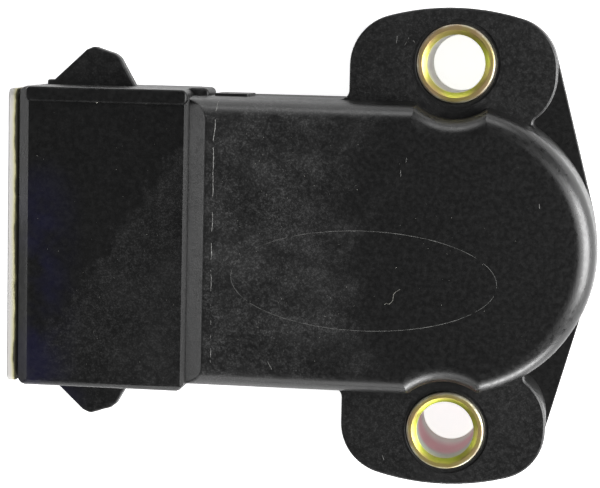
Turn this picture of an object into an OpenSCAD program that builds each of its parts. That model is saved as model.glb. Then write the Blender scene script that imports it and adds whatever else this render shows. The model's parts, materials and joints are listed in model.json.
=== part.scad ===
// Throttle position sensor: a rotary sensor that two screws hold against a throttle body.
// The throttle shaft turns the rotor from below, and a three-pin connector opens towards -X.
// Origin on the rotor axis at the mounting face, +Z away from the throttle body.
// The two screw holes lie on the Y axis. All sizes are in millimetres.

/* [Cover] */
// Half the width of the cover, and the radius of its round end
cover_r = 13.45; // [13.3:0.05:14]
// Height of the cover's flat top above the mounting face
cover_top = 14; // [13.8:0.1:15]
// Radius of the cover's upper edge
cover_round = 1.9; // [1.2:0.1:2]
// Draft of the cover's side above the ears, in degrees
cover_draft = 4.5; // [1:0.5:6]
// Thickness of the housing's side wall
side_wall = 1.8; // [1.6:0.1:2]
// Thickness of the housing's roof
roof_t = 1.8; // [1.5:0.1:2.1]
// Distance from the rotor axis to the foot of the cover's sloped end
slope_foot = 24.15; // [23.6:0.05:25]
// Length of the sloped end along X
slope_len = 1.75; // [1.2:0.05:2.3]
// How far the sloped end falls below the cover's flat top
slope_drop = 1.35; // [1.2:0.05:1.6]
// Thickness of the end wall between the foot of the slope and the hollow for the board
end_wall = 2.75; // [2.7:0.05:3.2]

/* [Ears] */
// Distance from the cover's side to the middle of a screw hole, which sets the holes 34 mm apart
hole_offset = 3.55; // [3.5:0.05:4]
// Height of the ears' upper face above the mounting face
ear_top = 10; // [9.4:0.1:10.6]
// Half the width of an ear
ear_half_w = 9.5; // [9:0.1:10]
// How far the middle of the ears lies from the holes, towards the connector
ear_offset = 0.25; // [0:0.05:0.4]
// Distance from a hole's centre to the ear's outer edge
ear_edge = 5.1; // [4.8:0.1:5.6]
// Radius of the ear's outer corners
ear_corner_r = 4.75; // [4:0.25:5.5]
// Radius of the curve that takes the ear's right side in to the cover
ear_waist_r = 4.9; // [4.5:0.1:5.3]
// How far beyond the cover's side that curve has its centre
ear_waist_rise = 2.55; // [2:0.05:3]
// Fillet between the ear's left side and the cover
left_fillet_r = 0.9; // [0.4:0.1:1.4]
// Fillet between the ear's right side and the cover
right_fillet_r = 0.6; // [0.3:0.1:1]
// Radius of the hollow in the cover's side round each screw head
notch_r = 5; // [4.8:0.1:5.2]
// Thickness of the wall behind that hollow
notch_wall = 1.6; // [1.4:0.1:1.8]
// Width of the shallow ring round each bushing
ring_w = 0.45; // [0.3:0.05:0.6]
// Depth of the shallow ring round each bushing
ring_depth = 0.15; // [0.1:0.05:0.3]

/* [Bushings] */
// Radius of the screw hole through a bushing
screw_hole_r = 2.65; // [2.2:0.05:2.9]
// Thickness of a bushing's wall
bushing_wall = 0.95; // [0.8:0.05:1.2]
// Size of the bevel at each end of the screw hole
bushing_bevel = 0.45; // [0.2:0.05:0.5]
// How far a bushing stands above the ear
bushing_proud = 0.15; // [0.1:0.05:0.3]
// Radius of a bushing's outer edge
bushing_round = 0.2; // [0.1:0.05:0.3]

/* [Back plate] */
// Thickness of the back plate
plate_t = 4.5; // [4.3:0.1:4.7]
// Height of the rim that centres the plate in the housing
rim_h = 1.2; // [0.8:0.1:1.4]
// Thickness of that rim
rim_t = 1; // [0.8:0.1:1.2]
// Gap between the plate and the housing where they fit together
fit_gap = 0.1; // [0.05:0.05:0.2]
// Width of the bead between the plate and the housing
bead_w = 0.8; // [0.6:0.1:1]
// Depth of the bead's groove
bead_depth = 0.5; // [0.4:0.1:0.8]

/* [Connector] */
// Length of the connector block along X
block_len = 16.1; // [14:0.1:17]
// Half the width of the connector block along Y
block_half_w = 14.05; // [13.6:0.05:14.5]
// Height of the block's underside above the mounting face
block_bottom = 0.4; // [0.2:0.1:0.6]
// Height of the block from its underside to its top
block_h = 12.4; // [12.2:0.1:12.8]
// Radius of the block's edges along X
block_edge_r = 0.7; // [0.4:0.1:1]
// Radius of the block's upright corners
block_corner_r = 1; // [0.6:0.1:1.3]
// Length along X of the bevel at the mouth of the block
mouth_bevel = 1.1; // [0.5:0.1:1.3]
// Height of that bevel
mouth_fall = 0.5; // [0.3:0.1:0.7]
// Length along X of the low bevel at the back of the block's top
back_bevel = 0.35; // [0.2:0.05:0.6]
// Height of that low bevel
back_fall = 0.12; // [0.05:0.01:0.14]
// Width of the slot between the block and the cover's sloped end
seam_w = 0.1; // [0.1:0.05:0.4]
// Thickness of the shroud's walls
shroud_wall = 1.4; // [1.2:0.1:1.5]
// Thickness of the wall at the back of the connector
shroud_floor = 3.6; // [3:0.1:4]
// Radius of the shroud's inner corners
shroud_corner_r = 0.6; // [0.3:0.1:1]
// Width of the rail along the block's upper edge
rail_w = 1.4; // [1.2:0.1:2]
// Height of the rail
rail_h = 0.6; // [0.3:0.1:0.9]
// Radius of the rail's ends
rail_end_r = 0.55; // [0.4:0.05:0.6]
// Distance from the block's mouth to the rail, which ends flush with the back of the block
rail_setback = 0.9; // [0.6:0.1:1.2]
// Thickness of the latch ramps
ramp_t = 1.3; // [1:0.1:2]
// Height of the latch ramps' lower face above the block's underside
ramp_rise = 4.4; // [3.5:0.1:5.5]
// Height of the latch ramps above the side of the block
ramp_h = 3.7; // [3:0.05:3.8]
// Distance from the block's mouth to the foot of the ramps
ramp_setback = 1.3; // [1.2:0.1:2.5]
// Length of the ramps' long slope
ramp_slope_len = 4.1; // [3:0.1:4.2]
// Size of the small bevel at each end of the ramps' crown
ramp_bevel = 0.5; // [0.2:0.1:0.6]
// Length of the ramps' low crown, which falls towards the catch side
ramp_crown_len = 2.8; // [2:0.1:3]
// How far the crown falls
ramp_crown_drop = 0.8; // [0.5:0.1:1.2]
// Length of the ramps' steep catch side
ramp_catch_len = 1.5; // [1:0.1:2]
// How far the low pad between the mouth and a ramp stands off the block's side
guide_reach = 0.45; // [0.3:0.05:0.6]

/* [Side bumps] */
// Height of the side bumps' lower face above the back plate
bump_rise = 0.5; // [0.3:0.1:1]
// Thickness of the side bumps along Z
bump_h = 4; // [3:0.1:4.4]
// How far the round bump starts before the foot of the sloped end
lug_start = 0.95; // [0.5:0.05:1.2]
// Width of the round bump at the back of the block
lug_w = 2.1; // [1.6:0.1:2.6]
// Radius of the round bump's corners
lug_corner_r = 0.5; // [0.3:0.05:0.6]
// How far the round bump stands off the neck's side
lug_reach = 0.7; // [0.6:0.05:1]
// Length of the low pad on the neck's side
pad_len = 3.2; // [2.4:0.1:4]
// How far the low pad stands off the neck's side
pad_reach = 0.25; // [0.15:0.05:0.5]
// Distance from the foot of the sloped end to the low pad
pad_start = 1.75; // [1.5:0.05:2.4]

/* [Mouth seal] */
// Thickness of the seal's rim at the connector's mouth
seal_rim_t = 0.75; // [0.5:0.05:1.2]
// How far the rim lies inside the block's outline
seal_inset = 0.3; // [0.2:0.05:0.6]
// Thickness of the seal's neck, against the block
seal_neck_t = 0.15; // [0.1:0.05:0.3]
// How far the neck lies inside the rim's outline
seal_neck_inset = 0.3; // [0.2:0.05:0.4]

/* [Terminals] */
// Width of a blade
blade_w = 2.8; // [2.4:0.1:3.2]
// Thickness of a blade
blade_t = 0.8; // [0.6:0.1:0.8]
// Distance between the blades
blade_pitch = 5; // [4.5:0.1:5.5]
// Distance from the mouth to the blades' tips
blade_setback = 2.6; // [2:0.1:4]
// Size of the bevel at a blade's tip
blade_bevel = 0.3; // [0.2:0.05:0.35]
// How far a blade reaches beyond its contact spring's foot
tail_spare = 0.4; // [0.2:0.1:0.6]
// Thickness of a contact spring
contact_t = 0.25; // [0.15:0.05:0.35]
// Width of a contact spring
contact_w = 1.8; // [1.4:0.1:2.2]
// Distance from the end wall to a contact spring's foot
contact_setback = 0.4; // [0.35:0.05:0.6]
// Length of a contact spring's foot
contact_foot = 1.6; // [1.3:0.1:1.7]
// Length of a contact spring's pad under the board
contact_pad_len = 2; // [1.6:0.1:2.4]
// Run of a contact spring's riser along X
contact_run = 1; // [0.6:0.1:1.2]

/* [Rotor] */
// How far the rotor turns, in degrees
travel = 95; // [80:1:100]
// Radius of the socket that takes the throttle shaft
socket_r = 4.05; // [3.8:0.05:4.15]
// Length of the socket's round mouth
socket_mouth = 2.6; // [2:0.1:3]
// How much smaller the round part behind the mouth is
socket_step = 0.6; // [0.5:0.05:0.8]
// Width across the socket's flats
socket_flats = 5.2; // [4.8:0.1:5.6]
// Depth of the socket's flat-sided part
socket_drive = 3.2; // [2.8:0.1:3.4]
// Thickness of the hub's wall round the socket
hub_wall = 0.95; // [0.8:0.05:1.2]
// Distance from the mounting face to the end of the hub
hub_setback = 0.4; // [0.2:0.1:0.6]
// Radial clearance of the hub and of the pivot
run_gap = 0.05; // [0.03:0.01:0.08]
// Clearance between the washer and the disc
end_play = 0.1; // [0.05:0.05:0.2]
// Distance from the disc's edge to the housing's inner wall
disc_margin = 1.65; // [1.5:0.05:2]
// Thickness of the disc
disc_t = 1.6; // [1.4:0.1:1.7]
// Thickness of the boss's wall round the pivot pin
boss_wall = 1; // [0.8:0.1:1.3]
// Height of the boss on the disc
boss_h = 1.6; // [1.2:0.1:1.8]
// Radius of the pivot pin under the roof
pivot_r = 1.5; // [1.2:0.1:1.8]
// Clearance at the end of the pivot pin
pivot_end_gap = 0.3; // [0.2:0.1:0.5]
// How far the stop lug reaches beyond the disc
stop_reach = 0.9; // [0.7:0.1:1.1]
// Angle that the stop lug takes up, in degrees
stop_angle = 12; // [8:1:16]
// Gap between the disc and the stops' ends
stop_gap = 0.35; // [0.3:0.05:0.5]
// Angle between the stop lug and a stop at the end of the travel, in degrees
stop_rest_angle = 1; // [0.5:0.5:2]
// Thickness of the drive clip
clip_t = 0.2; // [0.15:0.05:0.25]
// Width of the drive clip
clip_w = 3; // [2.4:0.1:3.4]
// How far the drive clip bows out of its recess
clip_bow = 0.2; // [0.1:0.05:0.3]

/* [Bearing and seals] */
// Thickness of the rotor bush's wall
bush_wall = 0.75; // [0.6:0.05:0.9]
// Length of the bush inside the plate
bush_depth = 1.9; // [1.7:0.1:2]
// How far the bush's flange reaches beyond the thrust washer
flange_spare = 0.15; // [0.1:0.05:0.3]
// Thickness of the bush's flange
bush_flange_t = 0.7; // [0.6:0.1:0.8]
// Thickness of the thrust washer
washer_t = 0.3; // [0.2:0.05:0.4]
// Width of the thrust washer's ring
washer_w = 0.7; // [0.6:0.05:0.9]
// Radial width of the rotor seal
rotor_seal_w = 2; // [1.8:0.1:2.4]
// Height of the rotor seal
rotor_seal_h = 1.5; // [1.3:0.1:1.6]
// Thickness of the rotor seal's outer band
seal_band_t = 0.9; // [0.7:0.05:1]
// Thickness of the rotor seal's lip
lip_t = 0.45; // [0.35:0.05:0.55]
// Height of the lip's edge above the seal's lower face
lip_rise = 0.3; // [0.2:0.05:0.4]
// Height of the lip's land against the hub
lip_land = 0.2; // [0.1:0.05:0.3]
// Distance from the mounting face to the rotor seal
rotor_seal_setback = 0.5; // [0.4:0.1:0.6]
// Clearance between the hub and what it passes through without running in it
hub_gap = 0.25; // [0.2:0.05:0.4]
// Distance from the plate's edge to the face seal's centre line
face_seal_margin = 2.1; // [1.9:0.1:2.4]
// Thickness of the face seal's section
face_seal_d = 1.4; // [1.2:0.1:1.5]
// How far the face seal lies below the mounting face
face_seal_recess = 0.1; // [0.05:0.05:0.2]
// Side clearance of the face seal in its groove
face_seal_gap = 0.1; // [0.05:0.05:0.2]

/* [Return spring] */
// Distance from the disc's edge to the middle of the spring's wire
spring_margin = 0.6; // [0.5:0.05:0.8]
// Thickness of the spring's wire
wire_d = 0.7; // [0.6:0.05:0.75]
// Number of turns
spring_turns = 2; // [1:1:2]
// Clearance between the spring's last turn and the disc
coil_gap = 0.1; // [0.05:0.05:0.15]
// Clearance round the spring in its pocket
spring_gap = 0.3; // [0.2:0.05:0.35]
// Depth of the spring's pocket in the plate
pocket_depth = 2.1; // [2:0.1:2.2]
// Length of the fixed end below the pocket's floor
spring_foot = 0.7; // [0.5:0.1:0.8]
// Length of the moving end above the disc's lower face
spring_head = 1.2; // [0.8:0.1:1.3]

/* [Board and wiper] */
// Thickness of the circuit board
board_t = 1; // [0.8:0.1:1.2]
// Clearance between the board and the housing's wall
board_gap = 0.25; // [0.15:0.05:0.35]
// Thickness of the printed tracks
track_t = 0.1; // [0.05:0.01:0.12]
// Distance from the disc's edge to the middle of the resistive track
track_margin = 2; // [1.8:0.1:2.4]
// Distance between the middles of the two tracks
track_pitch = 2.3; // [2:0.1:2.6]
// Width of the two arcs
track_w = 1.4; // [1.2:0.1:1.5]
// Angle that the arcs reach beyond the wiper's travel, in degrees
track_spare = 10; // [6:1:14]
// Clearance between the resistive track and the lead round it
lead_gap = 0.65; // [0.4:0.05:0.8]
// Width of the printed leads
lead_w = 0.8; // [0.6:0.1:0.9]
// Radius of the posts that hold the board
post_r = 0.9; // [0.7:0.05:1]
// Distance from the housing's inner wall to the middle of a post
post_margin = 2.4; // [2:0.1:3]
// Thickness of the wiper's sheet
wiper_t = 0.25; // [0.2:0.05:0.3]
// Width of a wiper finger
finger_w = 1; // [0.8:0.1:1.2]
// Gap between the fingers and the tracks
finger_gap = 0.1; // [0.05:0.05:0.15]
// Distance from a finger's tip back to the edge of the wiper's base
finger_len = 2.2; // [1.9:0.1:2.4]
// Height of the curl at a finger's tip
finger_curl = 0.7; // [0.5:0.1:0.9]
// Width of the wiper's base
wiper_base_w = 2.1; // [1.8:0.1:2.2]
// Radius of the stakes that hold the wiper
stake_r = 0.5; // [0.4:0.05:0.55]

/* [Hidden] */
$fn = 96;
// Overlap of a cutting body beyond the face that it cuts
cut = 1;
// Overlap of two bodies that are joined
overlap = 0.2;

// Radii about the rotor axis
cavity_r = cover_r - side_wall;
hub_r = socket_r + hub_wall;
boss_r = pivot_r + boss_wall;
washer_in = hub_r + hub_gap;
washer_r = washer_in + washer_w;
bush_flange_r = washer_r + flange_spare;
rotor_seal_r = hub_r + rotor_seal_w;
face_seal_r = cover_r - face_seal_margin;
post_place = (cavity_r - post_margin) * cos(45);

// Bushings
bushing_r = screw_hole_r + bushing_wall;

// Levels
rim_top = plate_t + rim_h;
roof_z = cover_top - roof_t;
board_z = roof_z - board_t;
track_z = board_z - track_t;
disc_z = plate_t + bush_flange_t + washer_t + end_play;
disc_top = disc_z + disc_t;
mouth_top_z = hub_setback + socket_mouth;
socket_top_z = mouth_top_z + socket_drive;
block_top = block_bottom + block_h;
ramp_z = block_bottom + ramp_rise;
bump_z = plate_t + bump_rise;
blade_z = block_bottom + block_h / 2;
tail_top = blade_z + blade_t / 2;

// Places along X
block_back = -(slope_foot + seam_w);
block_mouth = block_back - block_len;
cavity_left = end_wall - slope_foot;
shroud_end = cavity_left - shroud_floor;
plate_left = cavity_left - side_wall;

// Ears
hole_y = cover_r + hole_offset;
ear_arc_r = hole_y + ear_edge;
corner_x = ear_half_w - ear_corner_r;
corner_y = sqrt(pow(ear_arc_r - ear_corner_r, 2) - pow(corner_x, 2));
waist_x = ear_half_w - ear_waist_r - ear_offset;
waist_y = min(cover_r + ear_waist_rise, corner_y);
ear_left = -ear_half_w - ear_offset;

// The disc keeps clear of the inner wall and of the walls behind the hollows for the screw heads
disc_r = min(cavity_r - disc_margin, hole_y - notch_r - notch_wall - stop_gap);
spring_r = disc_r - spring_margin;
resistive_r = disc_r - track_margin;
collector_r = resistive_r - track_pitch;

// Cover section: the centre of the edge's arc, tangent to the drafted side and to the top
round_z = cover_top - cover_round;
round_x = cover_r
    - (cover_round + (round_z - ear_top) * sin(cover_draft)) / cos(cover_draft);

// Stops
lug_rest_angle = -travel / 2;
stop_offset = stop_angle + stop_rest_angle;

// Board and wiper: the wiper starts half its travel before the -X side
wiper_rest_angle = 180 - travel / 2;
arc_half = travel / 2 + track_spare;

// Colours
moulding_black = [0.12, 0.12, 0.13];
zinc_yellow = [0.78, 0.72, 0.42];
seal_grey = [0.8, 0.78, 0.76];
rubber_black = [0.07, 0.07, 0.07];
rotor_ivory = [0.85, 0.82, 0.72];
steel_grey = [0.7, 0.7, 0.72];
bronze = [0.72, 0.5, 0.3];
board_green = [0.1, 0.35, 0.2];
carbon_black = [0.15, 0.14, 0.14];
silver = [0.82, 0.82, 0.84];
tin_grey = [0.76, 0.75, 0.72];

function along(angle) = [cos(angle), sin(angle)];

// General shapes

// Repeats what is on the +Y side on the -Y side
module both_sides() {
    children();
    mirror([0, 1, 0]) children();
}

// Rectangle from one corner to the other with round corners
module round_rect(low, high, r) {
    translate([low.x + r, low.y]) square([high.x - low.x - 2 * r, high.y - low.y]);
    translate([low.x, low.y + r]) square([high.x - low.x, high.y - low.y - 2 * r]);
    for (x = [low.x + r, high.x - r], y = [low.y + r, high.y - r])
        translate([x, y]) circle(r);
}

// Sets a shape drawn in Y and Z along X, from one X to another
module along_x(from, to) {
    translate([from, 0, 0]) rotate([90, 0, 90]) linear_extrude(to - from) children();
}

// Sets a shape drawn in X and Z along Y, centred on the X axis
module along_y(width) {
    translate([0, width / 2, 0]) rotate([90, 0, 0]) linear_extrude(width) children();
}

// Sets a shape drawn in X and Y along Z
module along_z(from, to) {
    translate([0, 0, from]) linear_extrude(to - from) children();
}

module ring_2d(outer, inner) {
    difference() {
        circle(outer);
        circle(inner);
    }
}

// Sector of a circle between two angles less than 180 degrees apart
module sector_2d(r, from, to) {
    intersection() {
        circle(r);
        polygon([[0, 0], 2 * r * along(from), 2 * r * along((from + to) / 2), 2 * r * along(to)]);
    }
}

module at_holes() {
    for (y = [-hole_y, hole_y]) translate([0, y, 0]) children();
}

// Outlines seen from above

// Straight-sided outline with one round end about the rotor axis
module stadium_2d(r, left) {
    circle(r);
    translate([left, -r]) square([-left, 2 * r]);
}

// One ear without its fillets: a wide arc, two corners and straight sides
module ear_blank_2d() {
    corner_angle = atan2(corner_y, corner_x);
    translate([-ear_offset, 0]) {
        sector_2d(ear_arc_r, corner_angle, 180 - corner_angle);
        for (side = [-1, 1]) translate([side * corner_x, corner_y]) circle(ear_corner_r);
        translate([-ear_half_w, 0]) square([2 * ear_half_w, corner_y]);
    }
}

module left_fillet_2d() {
    difference() {
        translate([ear_left - left_fillet_r, cover_r - overlap])
            square([left_fillet_r + overlap, left_fillet_r + overlap]);
        translate([ear_left - left_fillet_r, cover_r + left_fillet_r]) circle(left_fillet_r);
    }
}

// Hollow fillet between the curve of the ear's right side and the cover's round end
module right_fillet_2d() {
    waist_d = norm([waist_x, waist_y]);
    to_axis = cover_r + right_fillet_r;
    to_waist = ear_waist_r + right_fillet_r;
    run = (pow(waist_d, 2) + pow(to_axis, 2) - pow(to_waist, 2)) / (2 * waist_d);
    off = sqrt(pow(to_axis, 2) - pow(run, 2));
    u = [waist_x, waist_y] / waist_d;
    centre = run * u + off * [u.y, -u.x];
    difference() {
        polygon([[0, 0], [waist_x, waist_y], centre]);
        translate(centre) circle(right_fillet_r);
    }
}

// The ear of the housing, whose right side curves in to the cover
module ear_2d() {
    difference() {
        ear_blank_2d();
        difference() {
            translate([waist_x, 0]) square([ear_half_w, waist_y]);
            translate([waist_x, waist_y]) circle(ear_waist_r);
        }
    }
    left_fillet_2d();
    right_fillet_2d();
}

module housing_2d() {
    stadium_2d(cover_r, block_back);
    both_sides() ear_2d();
}

// The back plate runs straight from each ear's right corner to the round end
module plate_2d() {
    corner = [corner_x - ear_offset, corner_y];
    tangent = along(atan2(corner.y, corner.x) - acos((cover_r - ear_corner_r) / norm(corner)));
    stadium_2d(cover_r, plate_left + fit_gap);
    both_sides() {
        ear_blank_2d();
        left_fillet_2d();
        polygon([[0, 0], cover_r * tangent, corner + ear_corner_r * tangent, corner]);
    }
}

// Inner outline of the housing, made smaller by an inset
module cavity_2d(inset = 0) {
    difference() {
        stadium_2d(cavity_r - inset, cavity_left + inset);
        at_holes() circle(notch_r + notch_wall + inset);
    }
}

// Housing

// Half of the cover's section, from the rotor axis to the drafted side
module cover_section_2d() {
    across = cos(cover_draft);
    rise = sin(cover_draft);
    polygon([
        [0, ear_top], [cover_r, ear_top],
        [round_x + cover_round * across, round_z + cover_round * rise],
        [round_x, round_z], [round_x, cover_top], [0, cover_top]
    ]);
    translate([round_x, round_z]) circle(cover_round);
}

module cover_solid() {
    intersection() {
        union() {
            along_x(block_back, 0) {
                cover_section_2d();
                mirror([1, 0]) cover_section_2d();
            }
            rotate([0, 0, -90]) rotate_extrude(angle = 180) cover_section_2d();
        }
        along_y(4 * cover_r) polygon([
            [block_back, ear_top], [2 * cover_r, ear_top], [2 * cover_r, cover_top],
            [slope_len - slope_foot, cover_top], [-slope_foot, cover_top - slope_drop],
            [block_back, cover_top - slope_drop]
        ]);
    }
}

// Hollow for a screw head, whose upper edge is rounded like the cover's
module notch_cut() {
    rotate_extrude() difference() {
        translate([0, ear_top]) square([notch_r + cover_round, cover_top + cut - ear_top]);
        translate([notch_r, ear_top - cut]) square([2 * cover_round, round_z + cut - ear_top]);
        translate([notch_r + cover_round, round_z]) circle(cover_round);
    }
}

module block_solid() {
    side = [block_half_w, block_top];
    intersection() {
        along_x(block_mouth, block_back)
            round_rect([-block_half_w, block_bottom], side, block_edge_r);
        along_z(block_bottom, block_top)
            round_rect([block_mouth, -block_half_w], [block_back, block_half_w], block_corner_r);
        along_y(4 * block_half_w) polygon([
            [block_mouth + mouth_bevel, block_bottom], [block_back, block_bottom],
            [block_back, block_top - back_fall], [block_back - back_bevel, block_top],
            [block_mouth + mouth_bevel, block_top],
            [block_mouth, block_top - mouth_fall], [block_mouth, block_bottom + mouth_fall]
        ]);
    }
}

// The rail has round ends and lies flush with the side of the block
module rail() {
    low = [block_mouth + rail_setback, block_half_w - rail_w];
    high = [block_back, block_half_w];
    along_z(block_top - block_edge_r, block_top + rail_h) round_rect(low, high, rail_end_r);
}

// Wedge that the plug's wire latch snaps over, with a low pad between it and the mouth
module latch_ramp() {
    foot = block_mouth + ramp_setback;
    crown = foot + ramp_slope_len;
    catch_top = crown + ramp_crown_len;
    catch_foot = catch_top + ramp_catch_len;
    side = block_half_w;
    slope = ramp_h / ramp_slope_len;
    fall = ramp_crown_drop / ramp_crown_len;
    along_z(ramp_z, ramp_z + ramp_t)
        translate([block_mouth + mouth_bevel, side - cut])
            square([ramp_setback + ramp_slope_len - mouth_bevel, cut + guide_reach]);
    along_z(ramp_z, ramp_z + ramp_t) polygon([
        [foot, side - cut], [foot, side],
        [crown - ramp_bevel, side + ramp_h - slope * ramp_bevel + ramp_bevel / 4],
        [crown + ramp_bevel / 2, side + ramp_h],
        [catch_top - ramp_bevel, side + ramp_h - ramp_crown_drop + fall * ramp_bevel],
        [catch_top, side + ramp_h - ramp_crown_drop - ramp_bevel / 2],
        [catch_foot, side], [catch_foot, side - cut]
    ]);
}

// Small round bump at the back of the block, and a low pad on the neck beside it
module side_bumps() {
    along_z(bump_z, bump_z + bump_h) {
        round_rect([-slope_foot - lug_start, cover_r - cut],
            [-slope_foot - lug_start + lug_w, cover_r + lug_reach], lug_corner_r);
        translate([pad_start - slope_foot, cover_r - cut]) square([pad_len, cut + pad_reach]);
    }
}

module shroud_inner_2d() {
    round_rect([-block_half_w + shroud_wall, block_bottom + shroud_wall],
        [block_half_w - shroud_wall, block_top - shroud_wall], shroud_corner_r);
}

module at_blades() {
    for (y = [-blade_pitch, 0, blade_pitch]) translate([0, y, 0]) children();
}

module at_posts() {
    for (y = [-post_place, post_place]) translate([post_place, y, 0]) children();
}

// Ribs on the inner wall that end the rotor's travel
module stop_ribs() {
    inner = disc_r + stop_gap;
    for (angle = [lug_rest_angle - stop_offset, lug_rest_angle + travel + stop_offset])
        along_z(rim_top + fit_gap, disc_top) intersection() {
            ring_2d(cavity_r + side_wall / 2, inner);
            sector_2d(cover_r, angle - stop_angle / 2, angle + stop_angle / 2);
        }
}

module housing() {
    color(moulding_black) {
        difference() {
            union() {
                along_z(plate_t, ear_top) housing_2d();
                cover_solid();
                block_solid();
                rail();
                both_sides() latch_ramp();
                side_bumps();
                along_z(block_bottom, plate_t) translate([block_back, -cover_r])
                    square([plate_left - block_back, 2 * cover_r]);
            }
            at_holes() notch_cut();
            at_holes() cylinder(h = cover_top, r = bushing_r);
            at_holes() translate([0, 0, ear_top - ring_depth])
                cylinder(h = cut, r = bushing_r + ring_w);
            along_z(plate_t - cut, roof_z) cavity_2d();
            along_x(block_mouth - cut, shroud_end) shroud_inner_2d();
            at_blades() translate([shroud_end - cut, -blade_w / 2, blade_z - blade_t / 2])
                cube([cavity_left - shroud_end + 2 * cut, blade_w, blade_t]);
        }
        stop_ribs();
        translate([0, 0, disc_top + pivot_end_gap])
            cylinder(h = roof_z + roof_t / 2 - disc_top - pivot_end_gap, r = pivot_r);
        at_posts() translate([0, 0, board_z - post_r / 2])
            cylinder(h = board_t + post_r / 2 + roof_t / 2, r = post_r);
    }
}

// Back plate

// Ring that lies in the middle of the housing's wall, cut from two insets
module bead_2d(gap = 0) {
    middle = side_wall / 2;
    difference() {
        cavity_2d(-middle - bead_w / 2 - gap);
        cavity_2d(-middle + bead_w / 2 + gap);
    }
}

// Keeps the plate's rim clear of the blades where they come through the end wall
module blade_slots() {
    at_blades() translate([cavity_left, -blade_w / 2 - fit_gap, blade_z - blade_t / 2 - fit_gap])
        cube([2 * rim_t + fit_gap, blade_w + 2 * fit_gap, blade_t + cut]);
}

module back_plate() {
    pocket_in = spring_r - wire_d / 2 - spring_gap;
    pocket_out = spring_r + wire_d / 2 + spring_gap;
    groove_half = face_seal_d / 2 + face_seal_gap;
    seal_top = rotor_seal_setback + rotor_seal_h;
    bush_r = hub_r + run_gap + bush_wall;
    color(moulding_black) difference() {
        union() {
            along_z(0, plate_t) plate_2d();
            along_z(plate_t, rim_top) difference() {
                cavity_2d(fit_gap);
                cavity_2d(fit_gap + rim_t);
                circle(disc_r + stop_gap);
            }
        }
        at_holes() translate([0, 0, -cut]) cylinder(h = plate_t + 2 * cut, r = bushing_r);
        along_z(plate_t - bead_depth, plate_t) bead_2d();
        along_z(-cut, seal_top) circle(rotor_seal_r);
        along_z(0, plate_t) circle(washer_in);
        along_z(plate_t - bush_depth, plate_t + cut) circle(bush_r);
        along_z(plate_t - pocket_depth, plate_t + cut) ring_2d(pocket_out, pocket_in);
        along_z(-cut, face_seal_recess + face_seal_d)
            ring_2d(face_seal_r + groove_half, face_seal_r - groove_half);
        translate([spring_r, 0, plate_t - pocket_depth - spring_foot])
            cylinder(h = pocket_depth, r = wire_d / 2 + run_gap);
        blade_slots();
    }
}

// Metal sleeve that takes the load of one mounting screw
module bushing() {
    top = ear_top + bushing_proud;
    edge = bushing_r - bushing_round;
    color(zinc_yellow) rotate_extrude() {
        polygon([
            [screw_hole_r + bushing_bevel, 0], [edge, 0], [bushing_r, bushing_round],
            [bushing_r, top - bushing_round], [edge, top - bushing_round], [edge, top],
            [screw_hole_r + bushing_bevel, top], [screw_hole_r, top - bushing_bevel],
            [screw_hole_r, bushing_bevel]
        ]);
        intersection() {
            translate([edge, top - bushing_round]) circle(bushing_round);
            translate([edge, top - bushing_round]) square(bushing_round);
        }
    }
}

module bushing_upper() { translate([0, hole_y, 0]) bushing(); }

module bushing_lower() { translate([0, -hole_y, 0]) bushing(); }

// Seal ring at the connector's mouth: a rim, and a narrower neck against the block
module mouth_seal() {
    neck_inset = seal_inset + seal_neck_inset;
    rim_right = block_mouth - seal_neck_t;
    color(seal_grey) difference() {
        union() {
            along_x(rim_right - seal_rim_t, rim_right) seal_outline_2d(seal_inset);
            along_x(rim_right, block_mouth) seal_outline_2d(neck_inset);
        }
        along_x(rim_right - seal_rim_t - cut, block_mouth + cut) shroud_inner_2d();
    }
}

module seal_outline_2d(inset) {
    round_rect([-block_half_w + inset, block_bottom + inset],
        [block_half_w - inset, block_top - inset], block_edge_r);
}

// Rotor and what turns with it

// Flat-sided part of the socket, with a recess for the drive clip in one flat
module drive_2d() {
    intersection() {
        circle(socket_r - socket_step);
        union() {
            square([4 * socket_r, socket_flats], center = true);
            translate([-clip_w / 2 - fit_gap, 0])
                square([clip_w + 2 * fit_gap, socket_flats / 2 + clip_t + fit_gap]);
        }
    }
}

module rotor() {
    lug_half = stop_angle / 2;
    color(rotor_ivory) difference() {
        union() {
            translate([0, 0, hub_setback]) cylinder(h = disc_z - hub_setback + cut, r = hub_r);
            along_z(disc_z, disc_top) circle(disc_r);
            along_z(rim_top + fit_gap, disc_top)
                sector_2d(disc_r + stop_reach, lug_rest_angle - lug_half, lug_rest_angle + lug_half);
            translate([0, 0, disc_top - cut]) cylinder(h = boss_h + cut, r = boss_r);
            stakes(stake_r, disc_top + 2 * wiper_t);
        }
        translate([0, 0, hub_setback - cut]) cylinder(h = socket_mouth + cut, r = socket_r);
        along_z(mouth_top_z, socket_top_z) drive_2d();
        translate([0, 0, disc_top]) cylinder(h = boss_h + cut, r = pivot_r + run_gap);
        spring_slot();
    }
}

// Slot in the disc's edge that the spring's moving end turns with
module spring_slot() {
    half = wire_d / 2 + spring_gap / 2;
    along_z(disc_z - cut, disc_top + cut) {
        translate([spring_r, 0]) circle(half);
        translate([spring_r, -half]) square([2 * spring_margin, 2 * half]);
    }
}

// Flat strip in the recess whose middle bows out towards the shaft's flat
module drive_clip() {
    back = socket_flats / 2 + clip_t;
    low = mouth_top_z + fit_gap;
    high = socket_top_z - fit_gap;
    third = (high - low) / 3;
    color(steel_grey) along_x(-clip_w / 2, clip_w / 2) polygon([
        [back, low], [back - clip_bow, low + third], [back - clip_bow, high - third],
        [back, high], [back - clip_t, high], [back - clip_t - clip_bow, high - third],
        [back - clip_t - clip_bow, low + third], [back - clip_t, low]
    ]);
}

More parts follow.
